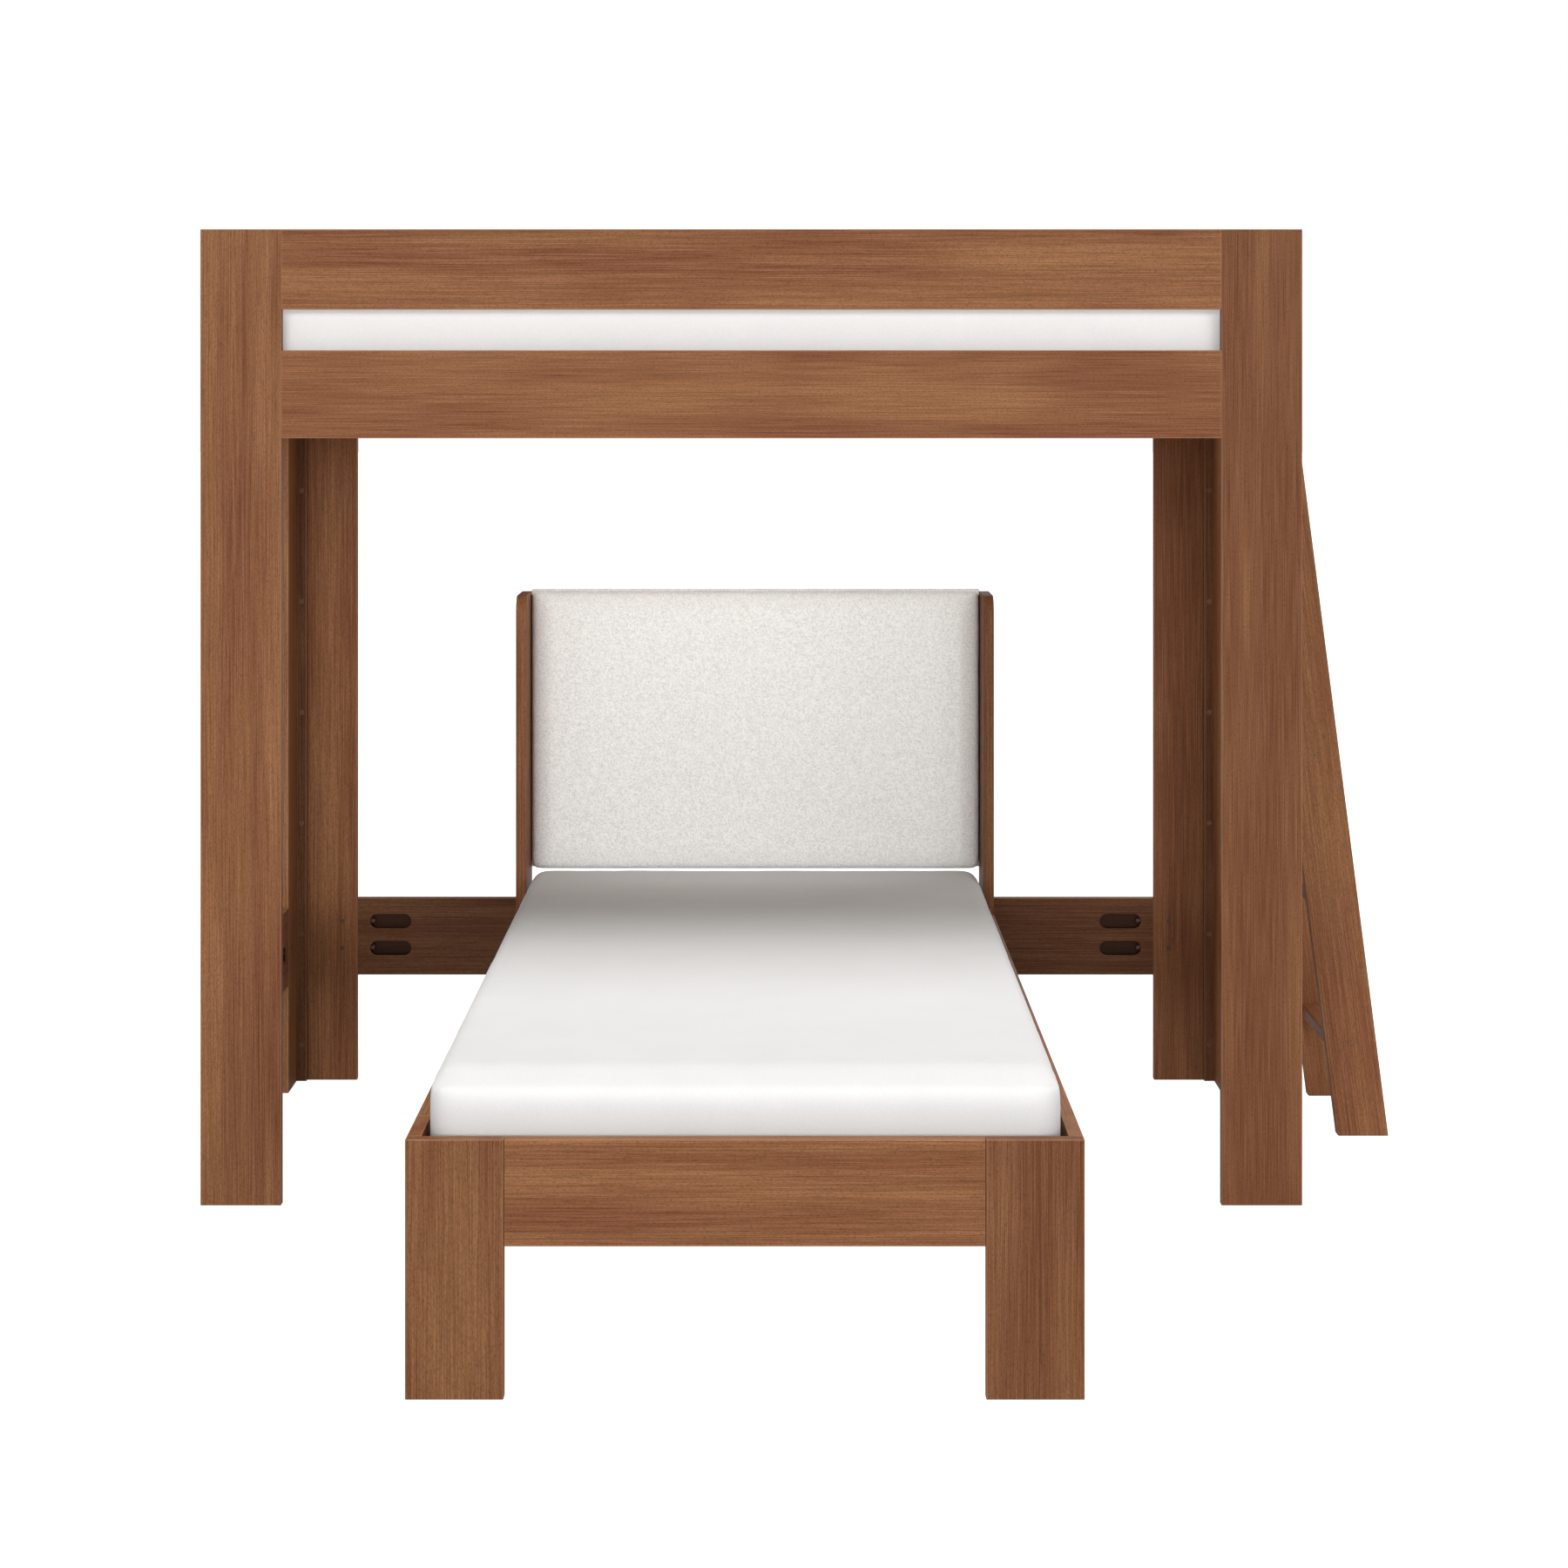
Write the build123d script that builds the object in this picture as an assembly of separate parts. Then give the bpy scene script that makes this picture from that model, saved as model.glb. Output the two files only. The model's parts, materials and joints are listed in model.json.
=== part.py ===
from build123d import *
from collections import namedtuple
import math
import os

# Lengths are in millimetres and angles in degrees. X runs along the loft bed towards its ladder,
# Y from the foot of the lower bed to the wall behind the loft bed, Z up from the floor.
# The origin is on the floor, at the middle of the footprint of the two beds and the ladder.

# Mattresses, which both beds are built round
mattress_width = 965
mattress_length = 1945
mattress_thickness = 200
mattress_corner = 48
mattress_edge = 26
mattress_pinch = 4
mattress_crown = 5
soft_gap = 0.3

# Loft bed
loft_height = 1810
loft_board = 20
loft_side_gap = 8
loft_end_gap = 7
post_face_width = 150
post_side_width = 123
guard_rail_height = 148.5
guard_gap = 76
loft_rail_height = 163
stretcher_bottom = 230
stretcher_height = 168
edge_ease = 1.5

# Lower bed
bed_board = 22
bed_side_gap = 5.5
bed_foot_gap = 8
bed_head_gap = 27
bed_leg_width = 148
bed_rail_bottom = 230
bed_rail_height = 160.5
bed_gap = 4
wing_depth = 160
wing_height = 1070
wing_round = 35

# Headboard between the wings
headboard_bottom = 472
headboard_rise = 4
backing_board = 18
cushion_thickness = 38
cushion_corner = 19
cushion_edge = 20
cushion_pinch = 1
cushion_crown = 3

# Slats and the ledgers that carry them
ledger_size = 24
ledger_gap = 2
slat_width = 70
slat_thickness = 18
slat_gap = 2
slat_count = 14

# Corner cleats
cleat_width = 22
cleat_depth = 16
cleat_foot_gap = 1
loft_cleat_rise = 25.5
loft_cleat_screw_inset = 79
loft_cleat_screw_count = 7
bed_cleat_top_gap = 7
bed_cleat_screw_inset = 50
bed_cleat_screw_count = 2

# Knock-down joints: a bolt runs from a pocket in a rail into a barrel nut in the next board
pocket_length = 90
pocket_height = 31
pocket_web = 28.6
pocket_shares = (0.35, 0.7)
single_pocket_shares = (0.46,)
bolt_shank = 8
bolt_head = 13
bolt_head_height = 8
bolt_socket = 6
bolt_socket_depth = 4
nut_inset = 33
nut_diameter = 10
nut_skin = 4
nut_slot = 1.6
nut_slot_depth = 2
bolt_tail = 7
hole_clearance = 0.15
overrun = 2

# Ladder
ladder_reach = 264
ladder_width = 362
ladder_side_gap = 1.8
ladder_clearance = 0.5
stringer_width = 102.3
stringer_board = 22
stringer_top_width = 34
stringer_top_drop = 14
stringer_foot_round = 5
tread_count = 5
tread_first_top = 196.5
tread_pitch = 293.7
tread_thickness = 26
tread_inset = 10
tread_ease = 3

# Ladder entry and the hooks that hang the ladder on the right bed rail
entry_margin = 10
stile_width = 74
stile_board = 20
hook_width = 18
hook_plate = 4
hook_flange_height = 62
hook_lip_depth = 40
hook_rail_gap = 1
hook_bend = 1.2
hook_screw_first = 22
hook_screw_pitch = 26

# Screws
screw_skin = 4
cleat_screw_head = 10.5
cleat_screw_head_height = 3
cleat_screw_shank = 5
cleat_screw_socket = 4
cleat_screw_socket_depth = 2
small_screw_head = 8
small_screw_head_height = 2.5
small_screw_shank = 4
small_screw_socket = 3
small_screw_socket_depth = 1.5
board_screw_head = 7
board_screw_head_height = 4
board_screw_shank = 4.5
board_screw_socket = 3.5
board_screw_socket_depth = 2.5
hook_screw_length = 26
tread_screw_length = 52
panel_screw_length = 50
stile_screw_inset = 18
panel_screw_inset = 40

# Counts and shares that shape the soft slabs
edge_steps = 4
side_steps = 4
crown_shares = (0.12, 0.35, 0.7)
least_corner_share = 0.35
half_turn = 180
quarter_turn = 90
hexagon_sides = 6

# Sizes and places that follow from the sizes above
loft_depth = mattress_width + 2 * (loft_board + loft_side_gap)
loft_length = mattress_length + 2 * (loft_board + cleat_width + loft_end_gap)
bed_width = mattress_width + 2 * (bed_board + bed_side_gap)
mattress_start = bed_board + bed_foot_gap
bed_length = mattress_start + mattress_length + bed_head_gap + cushion_thickness + backing_board
overall_width = loft_length + ladder_reach
overall_depth = loft_board + bed_gap + bed_length
loft_left = -overall_width / 2
loft_right = loft_left + loft_length
loft_middle = (loft_left + loft_right) / 2
loft_rear = overall_depth / 2
loft_front = loft_rear - loft_depth
bed_left = loft_middle - bed_width / 2
bed_right = loft_middle + bed_width / 2
bed_front = -overall_depth / 2
bed_back = bed_front + bed_length
post_reach = loft_board + post_side_width
guard_rail_bottom = loft_height - guard_rail_height
loft_rail_top = guard_rail_bottom - guard_gap
loft_rail_bottom = loft_rail_top - loft_rail_height
loft_cleat_length = loft_rail_top + loft_cleat_rise - cleat_foot_gap
bed_cleat_length = bed_rail_bottom - bed_cleat_top_gap - cleat_foot_gap
foot_height = bed_rail_bottom + bed_rail_height
headboard_height = wing_height + headboard_rise - headboard_bottom
ladder_front = loft_depth - post_reach - ladder_side_gap - ladder_width
entry_start = ladder_front - entry_margin
stringer_top = loft_height - stringer_top_drop
ladder_lean = (ladder_reach - ladder_clearance - stringer_top_width) / stringer_top
bolt_seat = pocket_height / 2 - math.sqrt((pocket_height / 2) ** 2 - (bolt_head / 2) ** 2) + hole_clearance
bolt_length = pocket_web + bolt_seat + nut_inset + bolt_tail

# Each kind of screw, with its length set by what it joins
thin_board = min(loft_board, bed_board)
Screw = namedtuple("Screw", "head head_height shank socket socket_depth length")
cleat_form = (cleat_screw_head, cleat_screw_head_height, cleat_screw_shank,
              cleat_screw_socket, cleat_screw_socket_depth)
small_form = (small_screw_head, small_screw_head_height, small_screw_shank,
              small_screw_socket, small_screw_socket_depth)
board_form = (board_screw_head, board_screw_head_height, board_screw_shank,
              board_screw_socket, board_screw_socket_depth)
cleat_screw = Screw(*cleat_form, cleat_depth + thin_board - screw_skin)
slat_screw = Screw(*small_form, slat_thickness + ledger_size - screw_skin)
ledger_screw = Screw(*small_form, ledger_size + thin_board - screw_skin)
stile_screw = Screw(*small_form, stile_board + loft_board - screw_skin)
hook_screw = Screw(*small_form, hook_screw_length)
tread_screw = Screw(*board_form, tread_screw_length)
panel_screw = Screw(*board_form, panel_screw_length)

# Each wall of a bed has a frame of its own: x along the wall, y inwards from its outer face, z up
Wall = namedtuple("Wall", "place length board")
front_wall = Wall(Pos(loft_left, loft_front, 0), loft_length, loft_board)
right_wall = Wall(Pos(loft_right, loft_front, 0) * Rot(0, 0, quarter_turn), loft_depth, loft_board)
rear_wall = Wall(Pos(loft_right, loft_rear, 0) * Rot(0, 0, half_turn), loft_length, loft_board)
left_wall = Wall(Pos(loft_left, loft_rear, 0) * Rot(0, 0, -quarter_turn), loft_depth, loft_board)
foot_wall = Wall(Pos(bed_left, bed_front, 0), bed_width, bed_board)
bed_right_wall = Wall(Pos(bed_right, bed_front, 0) * Rot(0, 0, quarter_turn), bed_length, bed_board)
bed_left_wall = Wall(Pos(bed_left, bed_back, 0) * Rot(0, 0, -quarter_turn), bed_length, bed_board)

# Each bed also has a frame for what lies in it: x along its length, y across it, z up from the floor
loft_place = Pos(loft_left, loft_front, 0)
bed_place = Pos(bed_right, bed_front, 0) * Rot(0, 0, quarter_turn)

# Turns that point a fastener's head along an axis of the frame that it is placed in
head_to_right = Rot(0, quarter_turn, 0)
head_to_left = Rot(0, -quarter_turn, 0)
head_inwards = Rot(-quarter_turn, 0, 0)
head_outwards = Rot(quarter_turn, 0, 0)


def block(size_x, size_y, size_z):
    """A plain block with its lowest corner at the origin."""
    return Box(size_x, size_y, size_z, align=(Align.MIN, Align.MIN, Align.MIN))


def board(size_x, size_y, size_z, ease=edge_ease):
    """A board with every edge eased."""
    return fillet(block(size_x, size_y, size_z).edges(), ease)


def rod(diameter, length):
    """A round rod that runs down from the origin."""
    return Cylinder(diameter / 2, length, align=(Align.CENTER, Align.CENTER, Align.MAX))


def hex_socket(across, depth, top):
    """The cut of a hexagon key, from a head's top downwards."""
    outline = RegularPolygon(across / 2, hexagon_sides, major_radius=False)
    return Pos(0, 0, top) * extrude(outline, -depth)


def screw(kind):
    """A screw whose flush head has its top at the origin."""
    return rod(kind.head, kind.head_height) + rod(kind.shank, kind.length) \
        - hex_socket(kind.socket, kind.socket_depth, 0)


def screw_hole(kind):
    """The hole that a screw sits in."""
    head = rod(kind.head + 2 * hole_clearance, kind.head_height + overrun)
    shank = rod(kind.shank + 2 * hole_clearance, kind.length + hole_clearance)
    return Pos(0, 0, overrun) * head + shank


def bolt():
    """A connector bolt with its head's seat at the origin."""
    head = Pos(0, 0, bolt_head_height) * rod(bolt_head, bolt_head_height)
    return head + rod(bolt_shank, bolt_length) - hex_socket(bolt_socket, bolt_socket_depth, bolt_head_height)


def bolt_hole():
    """The hole for a connector bolt's shank."""
    depth = bolt_seat + bolt_length + hole_clearance
    return Pos(0, 0, bolt_seat) * rod(bolt_shank + 2 * hole_clearance, depth)


def barrel_nut(thickness):
    """A barrel nut, flush at its slotted end, with the bolt's hole at the middle of a board."""
    bore = Rot(0, quarter_turn, 0) * Cylinder(bolt_shank / 2 + hole_clearance, nut_diameter + overrun)
    slot = Box(nut_diameter + overrun, nut_slot, 2 * nut_slot_depth)
    return rod(nut_diameter, thickness - nut_skin) - Pos(0, 0, -thickness / 2) * bore - slot


def barrel_hole(thickness):
    """The hole for a barrel nut in a board."""
    depth = thickness - nut_skin + hole_clearance
    return Pos(0, 0, overrun) * rod(nut_diameter + 2 * hole_clearance, depth + overrun)


def pocket(depth):
    """A rounded pocket that lets a bolt in, cut downwards from a rail's inner face."""
    return Pos(0, 0, overrun) * extrude(SlotOverall(pocket_length, pocket_height), -depth - overrun)


# A rail stands in a wall from start to end. Its ends are 1 where it meets a board before it
# and -1 where it meets a board after it. Each end has a bolt at each share of the rail height.
Rail = namedtuple("Rail", "wall start end bottom height pockets ends")
both_ends = (1, -1)


def long_rail(wall, reach, bottom, height, pockets=pocket_shares, ends=both_ends):
    """A rail that fills a wall between two posts of one reach."""
    return Rail(wall, reach, wall.length - reach, bottom, height, pockets, ends)


def rail_joints(rail):
    """Where a rail's bolts cross its ends: place along the wall, side of the rail, height."""
    ends = {1: rail.start, -1: rail.end}
    heights = [rail.bottom + share * rail.height for share in rail.pockets]
    return [(ends[side], side, height) for side in rail.ends for height in heights]


def make_rail(rail):
    """A rail with its bolt pockets, in its place."""
    inner = rail.wall.board
    depth = inner / 2 + bolt_head / 2 + hole_clearance
    shape = Pos(rail.start, 0, rail.bottom) * board(rail.end - rail.start, inner, rail.height)
    for along, side, height in rail_joints(rail):
        centre = along + side * (pocket_web + pocket_length / 2)
        shape -= Pos(centre, inner, height) * head_inwards * pocket(depth)
    return rail.wall.place * shape


def bolt_places(rails):
    """The places of the connector bolts of some rails."""
    places = []
    for rail in rails:
        for along, side, height in rail_joints(rail):
            turn = head_to_right if side > 0 else head_to_left
            seat = along + side * (pocket_web + bolt_seat)
            places.append(rail.wall.place * Pos(seat, rail.wall.board / 2, height) * turn)
    return places


def nut_places(rails):
    """The places of the barrel nuts of some rails."""
    places = []
    for rail in rails:
        for along, side, height in rail_joints(rail):
            centre = along - side * nut_inset
            places.append(rail.wall.place * Pos(centre, rail.wall.board, height) * head_inwards)
    return places


def copies(shape, places):
    """One copy of a shape at each place."""
    return [place * shape for place in places]


def boxes_meet(first, second):
    """True where two bounding boxes meet."""
    low = (first.min.X <= second.max.X, first.min.Y <= second.max.Y, first.min.Z <= second.max.Z)
    high = (second.min.X <= first.max.X, second.min.Y <= first.max.Y, second.min.Z <= first.max.Z)
    return all(low) and all(high)


def drill(shape, holes):
    """A shape with the holes that reach it cut out."""
    box = shape.bounding_box()
    near = [hole for hole in holes if boxes_meet(box, hole.bounding_box())]
    return shape - near if near else shape


def corner_cleats(wall, length):
    """The two corner cleats at the ends of a wall."""
    cleat = board(cleat_width, cleat_depth, length)
    starts = (wall.board, wall.length - wall.board - cleat_width)
    return [wall.place * Pos(start, wall.board, cleat_foot_gap) * cleat for start in starts]


def cleat_screw_places(wall, length, inset, count):
    """Screws through both cleats of a wall, into the wall's board and into the side board."""
    first = cleat_foot_gap + inset
    pitch = (length - 2 * inset) / (count - 1)
    places = []
    sides = ((wall.board, 1, head_to_right), (wall.length - wall.board, -1, head_to_left))
    for corner, side, turn in sides:
        middle = corner + side * cleat_width / 2
        for step in range(count):
            height = first + step * pitch
            places.append(wall.place * Pos(middle, wall.board + cleat_depth, height) * head_inwards)
            if step < count - 1:
                face = corner + side * cleat_width
                between = height + pitch / 2
                places.append(wall.place * Pos(face, wall.board + cleat_depth / 2, between) * turn)
    return places


def slat_centres(start, end):
    """Places of the slats' middles along a bed, spread evenly from start to end."""
    pitch = (end - start - slat_width) / (slat_count - 1)
    return [start + slat_width / 2 + step * pitch for step in range(slat_count)]


def ledgers(place, width, thickness, bottom, start, end):
    """The two ledgers along a bed's long rails."""
    strip = board(end - start, ledger_size, ledger_size)
    sides = (thickness, width - thickness - ledger_size)
    return [place * Pos(start, side, bottom) * strip for side in sides]


def slats(place, width, thickness, bottom, start, end):
    """The slats that lie on two ledgers."""
    slat = board(slat_width, width - 2 * thickness - 2 * slat_gap, slat_thickness)
    corner = Pos(-slat_width / 2, thickness + slat_gap, bottom + ledger_size)
    return [place * Pos(centre, 0, 0) * corner * slat for centre in slat_centres(start, end)]


def slat_screw_places(place, width, thickness, bottom, start, end):
    """One screw at each end of each slat, down into the ledgers."""
    top = bottom + ledger_size + slat_thickness
    inset = thickness + ledger_size / 2
    return [place * Pos(centre, side, top)
            for centre in slat_centres(start, end) for side in (inset, width - inset)]


def ledger_screw_places(place, width, thickness, bottom, start, end):
    """Screws through the ledgers into the rails, in every other gap between the slats."""
    centres = slat_centres(start, end)
    middle = bottom + ledger_size / 2
    face = thickness + ledger_size
    places = []
    for before, after in zip(centres[0::2], centres[1::2]):
        along = (before + after) / 2
        places.append(place * Pos(along, face, middle) * head_inwards)
        places.append(place * Pos(along, width - face, middle) * head_outwards)
    return places


def soft_levels(thickness, edge, pinch, crown):
    """Heights and insets of a padded slab: rounded edges, sides drawn in between them."""
    levels = []
    for step in range(edge_steps + 1):
        angle = math.radians(quarter_turn * step / edge_steps)
        levels.append((edge / 2 * (1 - math.cos(angle)), edge / 2 * (1 - math.sin(angle))))
    low = edge / 2
    high = thickness - crown - edge
    for step in range(1, side_steps):
        share = step / side_steps
        levels.append((low + share * (high - low), pinch * math.sin(math.pi * share)))
    for step in range(edge_steps + 1):
        angle = math.radians(quarter_turn * step / edge_steps)
        levels.append((high + edge * math.sin(angle), edge * (1 - math.cos(angle))))
    return levels


def soft_slab(length, width, thickness, corner, edge, pinch, crown):
    """A padded slab on the origin's plane, with a crowned top and rounded corners."""
    levels = soft_levels(thickness, edge, pinch, crown)
    rim_height, rim_inset = levels[-1]
    reach = min(length, width) / 2 - rim_inset
    for share in crown_shares:
        rise = crown * (1 - (1 - share / crown_shares[-1]) ** 2)
        levels.append((rim_height + rise, rim_inset + share * reach))
    sections = []
    for height, inset in levels:
        radius = corner * max(1 - inset / corner, least_corner_share)
        outline = RectangleRounded(length - 2 * inset, width - 2 * inset, radius)
        sections.append(Pos(0, 0, height) * outline)
    return loft(sections, ruled=True)


def mattress(place, start, side, bottom):
    """A mattress that lies in a bed, on its slats."""
    slab = soft_slab(mattress_length, mattress_width, mattress_thickness,
                     mattress_corner, mattress_edge, mattress_pinch, mattress_crown)
    middle = Pos(start + mattress_length / 2, side + mattress_width / 2, bottom + soft_gap)
    return place * middle * slab


def post_face_board(wall, start):
    """The broad board of a loft post, seen from the front or the back."""
    return wall.place * Pos(start, 0, 0) * board(post_face_width, loft_board, loft_height)


def post_side_board(wall, start):
    """The side board of a loft post, behind its face board."""
    return wall.place * Pos(start, 0, 0) * board(post_side_width, loft_board, loft_height)


def loft_posts():
    """The boards of the loft's four posts."""
    last_face = loft_length - post_face_width
    last_side = loft_depth - post_reach
    return {
        "front_left_post_face": post_face_board(front_wall, 0),
        "front_right_post_face": post_face_board(front_wall, last_face),
        "rear_right_post_face": post_face_board(rear_wall, 0),
        "rear_left_post_face": post_face_board(rear_wall, last_face),
        "front_right_post_side": post_side_board(right_wall, loft_board),
        "rear_right_post_side": post_side_board(right_wall, last_side),
        "rear_left_post_side": post_side_board(left_wall, loft_board),
        "front_left_post_side": post_side_board(left_wall, last_side),
    }


def loft_cleats():
    """The corner cleats of the loft's posts."""
    front_left, front_right = corner_cleats(front_wall, loft_cleat_length)
    rear_right, rear_left = corner_cleats(rear_wall, loft_cleat_length)
    return {
        "front_left_corner_cleat": front_left,
        "front_right_corner_cleat": front_right,
        "rear_right_corner_cleat": rear_right,
        "rear_left_corner_cleat": rear_left,
    }


def loft_rails():
    """Every rail of the loft bed by name."""
    guard = (guard_rail_bottom, guard_rail_height)
    bed = (loft_rail_bottom, loft_rail_height)
    low = (stretcher_bottom, stretcher_height)
    return {
        "front_guard_rail": long_rail(front_wall, post_face_width, *guard),
        "rear_guard_rail": long_rail(rear_wall, post_face_width, *guard),
        "left_guard_rail": long_rail(left_wall, post_reach, *guard),
        "right_guard_rail": Rail(right_wall, post_reach, entry_start, *guard, pocket_shares, (1,)),
        "front_bed_rail": long_rail(front_wall, post_face_width, *bed),
        "rear_bed_rail": long_rail(rear_wall, post_face_width, *bed),
        "left_bed_rail": long_rail(left_wall, post_reach, *bed),
        "right_bed_rail": long_rail(right_wall, post_reach, *bed),
        "rear_stretcher": long_rail(rear_wall, post_face_width, *low),
        "left_stretcher": long_rail(left_wall, post_reach, *low, single_pocket_shares),
        "right_stretcher": long_rail(right_wall, post_reach, *low, single_pocket_shares),
    }


def entry_stile():
    """The upright beside the ladder entry, on the inside of the right rails."""
    height = loft_height - loft_rail_bottom
    start = entry_start - stile_width
    corner = Pos(start, loft_board, loft_rail_bottom)
    return right_wall.place * corner * board(stile_width, stile_board, height)


def stile_screw_places():
    """Two screws high and two low, through the stile into each of the two rails."""
    spans = ((loft_rail_bottom, loft_rail_height), (guard_rail_bottom, guard_rail_height))
    lines = (entry_start - stile_width + stile_screw_inset, entry_start - stile_screw_inset)
    face = loft_board + stile_board
    places = []
    for bottom, height in spans:
        for level in (bottom + stile_screw_inset, bottom + height - stile_screw_inset):
            for line in lines:
                places.append(right_wall.place * Pos(line, face, level) * head_inwards)
    return places


def loft_frame():
    """The nodes of the loft frame."""
    rails = loft_rails()
    ledger_ends = (loft_board + cleat_width + ledger_gap, loft_length - loft_board - cleat_width - ledger_gap)
    base = (loft_place, loft_depth, loft_board, loft_rail_bottom, *ledger_ends)
    front_ledger, rear_ledger = ledgers(*base)
    rows = (loft_cleat_length, loft_cleat_screw_inset, loft_cleat_screw_count)
    cleat_places = cleat_screw_places(front_wall, *rows) + cleat_screw_places(rear_wall, *rows)
    bolts = bolt_places(rails.values())
    nuts = nut_places(rails.values())
    small = ((slat_screw, slat_screw_places(*base)), (ledger_screw, ledger_screw_places(*base)),
             (stile_screw, stile_screw_places()))
    holes = copies(bolt_hole(), bolts) + copies(barrel_hole(loft_board), nuts)
    for kind, places in ((cleat_screw, cleat_places), *small):
        holes += copies(screw_hole(kind), places)
    wood = {**loft_posts(), **loft_cleats()}
    wood.update({name: make_rail(rail) for name, rail in rails.items()})
    wood.update(entry_stile=entry_stile(), front_slat_ledger=front_ledger, rear_slat_ledger=rear_ledger)
    nodes = {name: [drill(shape, holes)] for name, shape in wood.items()}
    nodes["loft_slats"] = [drill(slat, holes) for slat in slats(*base)]
    nodes["loft_connector_bolts"] = copies(bolt(), bolts)
    nodes["loft_barrel_nuts"] = copies(barrel_nut(loft_board), nuts)
    nodes["corner_cleat_screws"] = copies(screw(cleat_screw), cleat_places)
    nodes["loft_slat_screws"] = [shape for kind, places in small for shape in copies(screw(kind), places)]
    return nodes


def stringer_outline():
    """The places along X of a stringer's toe, its foot and its plumb edge beside the loft."""
    toe = loft_right + ladder_reach
    foot = toe - stringer_width * math.hypot(1, ladder_lean)
    plumb = loft_right + ladder_clearance
    return toe, foot, plumb


def stringer(front):
    """A leaning stringer, cut plumb where it stands against the loft's end rails."""
    toe, foot, plumb = stringer_outline()
    crossing = (foot - plumb) / ladder_lean
    outer_top = toe - ladder_lean * stringer_top
    corners = [(toe, 0), (foot, 0), (plumb, crossing), (plumb, stringer_top), (outer_top, stringer_top)]
    face = make_face(Polyline([Vector(x, front, z) for x, z in corners], close=True))
    blank = extrude(face, stringer_board, dir=(0, 1, 0))
    uprights = blank.edges().filter_by(Axis.Y)
    foot_edge = uprights.sort_by(lambda edge: abs(edge.center().X - foot) + edge.center().Z)[0]
    rounded = fillet(foot_edge, stringer_foot_round)
    rest = rounded.faces().filter_by(Axis.Y)
    return chamfer([edge for side in rest for edge in side.edges()], edge_ease / 2)


def tread_heights():
    """The heights of the treads' tops."""
    return [tread_first_top + step * tread_pitch for step in range(tread_count)]


def tread_span(top):
    """Where a tread starts and ends along X, inside the stringers' edges."""
    toe, foot, plumb = stringer_outline()
    shift = ladder_lean * (top - tread_thickness / 2)
    return max(foot - shift, plumb) + tread_inset, toe - shift - tread_inset


def tread(front, top):
    """A tread between the two stringers."""
    start, end = tread_span(top)
    between = ladder_width - 2 * stringer_board
    plank = board(end - start, between, tread_thickness, tread_ease)
    return Pos(start, front + stringer_board, top - tread_thickness) * plank


def tread_screw_places(front):
    """One screw into each end of each tread."""
    places = []
    for top in tread_heights():
        start, end = tread_span(top)
        middle = (start + end) / 2
        height = top - tread_thickness / 2
        places.append(Pos(middle, front, height) * head_outwards)
        places.append(Pos(middle, front + ladder_width, height) * head_inwards)
    return places


def hook(line):
    """A bent plate hook: its flange on a stringer, its lip behind the right bed rail."""
    flange = loft_right + ladder_clearance
    lip = loft_right - loft_board - hook_rail_gap
    corners = [(flange, 0), (flange, hook_flange_height), (flange - hook_plate, hook_flange_height),
               (flange - hook_plate, hook_plate), (lip - hook_plate, hook_plate),
               (lip - hook_plate, -hook_lip_depth), (lip, -hook_lip_depth), (lip, 0)]
    start = line - hook_width / 2
    face = make_face(Polyline([Vector(x, start, loft_rail_top + z) for x, z in corners], close=True))
    plate = extrude(face, hook_width, dir=(0, 1, 0))
    return fillet(plate.edges().filter_by(Axis.Y), hook_bend)


def hook_lines(front):
    """The middles of the two stringers."""
    return (front + stringer_board / 2, front + ladder_width - stringer_board / 2)


def hook_screw_places(front):
    """Two screws through each hook's flange into its stringer."""
    face = loft_right + ladder_clearance - hook_plate
    first = loft_rail_top + hook_screw_first
    heights = (first, first + hook_screw_pitch)
    return [Pos(face, line, height) * head_to_left for line in hook_lines(front) for height in heights]


def ladder():
    """The nodes of the ladder."""
    front = loft_front + ladder_front
    screws = ((tread_screw, tread_screw_places(front)), (hook_screw, hook_screw_places(front)))
    holes = [hole for kind, places in screws for hole in copies(screw_hole(kind), places)]
    back = front + ladder_width - stringer_board
    nodes = {
        "front_stringer": [drill(stringer(front), holes)],
        "rear_stringer": [drill(stringer(back), holes)],
    }
    for number, top in enumerate(tread_heights(), start=1):
        nodes[f"tread_{number}"] = [drill(tread(front, top), holes)]
    nodes["ladder_hooks"] = [drill(hook(line), holes) for line in hook_lines(front)]
    nodes["ladder_screws"] = [shape for kind, places in screws for shape in copies(screw(kind), places)]
    return nodes


def wing(wall, start, front):
    """A headboard wing that is also a rear leg. Its rounded edge is first (0) or last (-1) on the wall."""
    blank = block(wing_depth, bed_board, wing_height)
    top_edges = blank.edges().filter_by(Axis.Y).group_by(Axis.Z)[-1]
    rounded = fillet(top_edges.sort_by(Axis.X)[front], wing_round)
    sides = rounded.faces().filter_by(Axis.Y)
    eased = chamfer([edge for side in sides for edge in side.edges()], edge_ease / 2)
    return wall.place * Pos(start, 0, 0) * eased


def bed_legs():
    """The boards of the lower bed's two foot legs, and its two wings."""
    last = bed_width - bed_leg_width
    last_side = bed_length - bed_leg_width
    face = board(bed_leg_width, bed_board, foot_height)
    side = board(bed_leg_width - bed_board, bed_board, foot_height)
    return {
        "foot_left_leg_face": foot_wall.place * face,
        "foot_right_leg_face": foot_wall.place * Pos(last, 0, 0) * face,
        "foot_right_leg_side": bed_right_wall.place * Pos(bed_board, 0, 0) * side,
        "foot_left_leg_side": bed_left_wall.place * Pos(last_side, 0, 0) * side,
        "right_headboard_wing": wing(bed_right_wall, bed_length - wing_depth, 0),
        "left_headboard_wing": wing(bed_left_wall, 0, -1),
    }


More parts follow.
